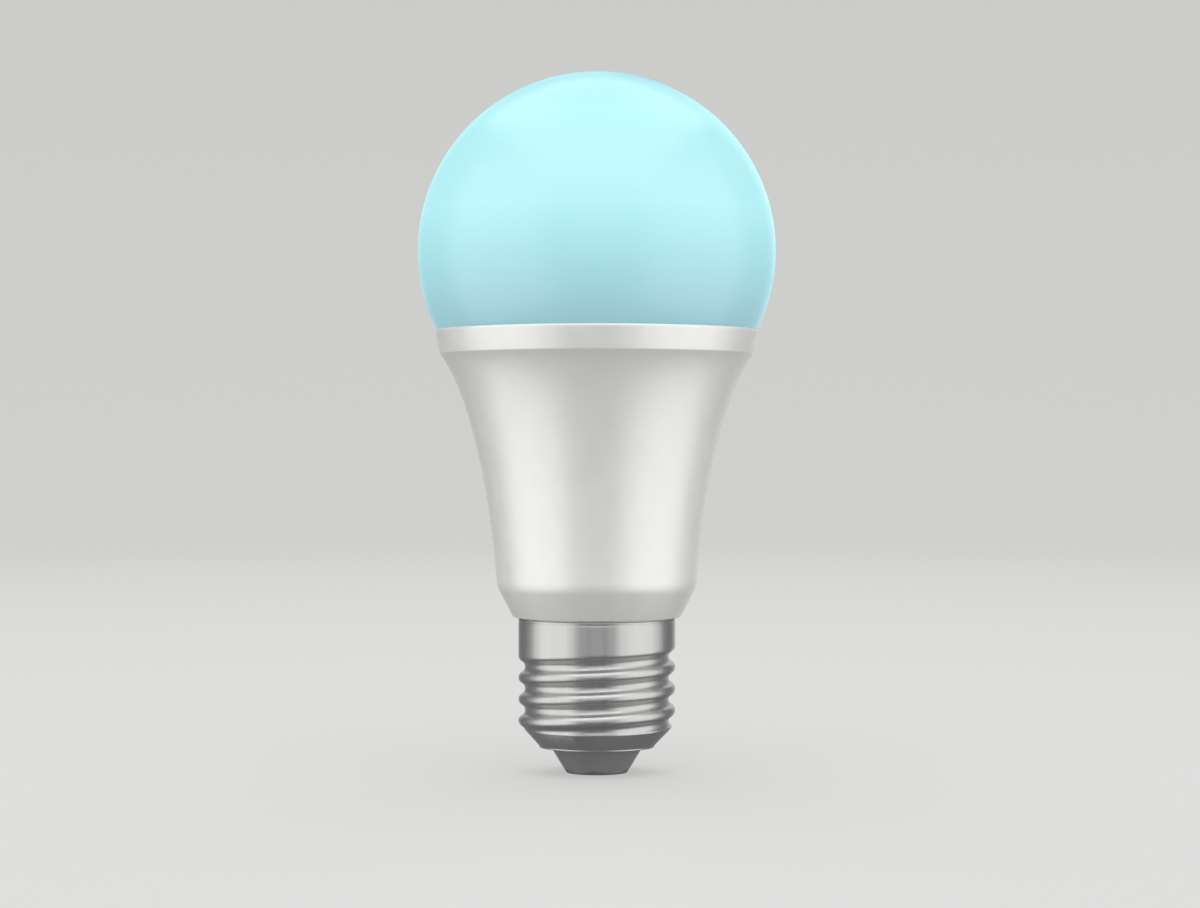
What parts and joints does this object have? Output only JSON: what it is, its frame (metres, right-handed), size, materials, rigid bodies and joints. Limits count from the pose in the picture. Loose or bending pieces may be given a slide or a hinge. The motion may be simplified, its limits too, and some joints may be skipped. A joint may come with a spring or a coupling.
{
  "type": "smart light bulb",
  "caption": "Round smart light bulb with an opal globe, a flared moulded housing, an Edison screw cap, and the light engine, mains driver and radio board inside.",
  "frame": {"origin": "centre of the flat face of the cap's centre contact, the bulb's lowest point", "axes": "+Z along the bulb's axis, from the cap to the globe; -Y is the front; the driver board lies across X"},
  "size_m": [0.06, 0.06, 0.1174],
  "materials": {
    "opal_diffuser": "satin opal polycarbonate, lit from inside",
    "white_housing": "satin moulded white PBT",
    "cap_nickel": "nickel-plated, satin",
    "contact_nickel": "nickel-plated, satin",
    "cap_insulator": "dark grey moulding",
    "silicone_seal": "translucent white silicone",
    "thermal_pad": "soft grey pad",
    "heat_sink": "drawn, plain",
    "led_board": "white solder mask on an aluminium core",
    "circuit_board": "green solder mask on glass epoxy",
    "cool_phosphor": "silicone with pale yellow phosphor",
    "warm_phosphor": "silicone with amber phosphor",
    "clear_resin": "white frame with clear resin",
    "steel": "plated steel",
    "black_moulding": "black moulding compound",
    "white_moulding": "white nylon",
    "capacitor_sleeve": "shrunk sleeve",
    "ferrite": "sintered ferrite",
    "copper": "copper",
    "yellow_tape": "polyester tape",
    "blue_lacquer": "dipped epoxy",
    "beige_lacquer": "flameproof lacquer",
    "live_insulation": "silicone insulation",
    "neutral_insulation": "silicone insulation"
  },
  "bodies": {
    "root": {"diffuser_dome": "opal_diffuser", "dome_seal": "silicone_seal", "housing": "white_housing", "heat_sink": "heat_sink", "thermal_pad": "thermal_pad", "led_board": "led_board", "cool_white_led_1": "cool_phosphor", "warm_white_led_1": "warm_phosphor", "cool_white_led_2": "cool_phosphor", "warm_white_led_2": "warm_phosphor", "cool_white_led_3": "cool_phosphor", "warm_white_led_3": "warm_phosphor", "cool_white_led_4": "cool_phosphor", "warm_white_led_4": "warm_phosphor", "cool_white_led_5": "cool_phosphor", "warm_white_led_5": "warm_phosphor", "cool_white_led_6": "cool_phosphor", "warm_white_led_6": "warm_phosphor", "rgb_led_1": "clear_resin", "rgb_led_2": "clear_resin", "rgb_led_3": "clear_resin", "rgb_led_4": "clear_resin", "board_screw_1": "steel", "board_screw_2": "steel", "board_screw_3": "steel", "wifi_board": "circuit_board", "wifi_shield": "steel", "module_header": "black_moulding", "pin_header": "black_moulding", "board_socket": "white_moulding", "driver_board": "circuit_board", "input_capacitor": "capacitor_sleeve", "output_capacitor": "capacitor_sleeve", "emi_inductor": "ferrite", "supply_inductor": "copper", "transformer_core": "ferrite", "transformer_coil": "yellow_tape", "fuse_resistor": "beige_lacquer", "varistor": "blue_lacquer", "film_capacitor": "yellow_tape", "bridge_rectifier": "black_moulding", "driver_ic": "black_moulding", "output_diode": "black_moulding", "colour_driver_ic": "black_moulding", "live_wire": "live_insulation", "neutral_wire": "neutral_insulation", "cap_shell": "cap_nickel", "cap_insulator": "cap_insulator", "contact_sleeve": "copper", "centre_contact": "contact_nickel"}
  },
  "joints": []
}
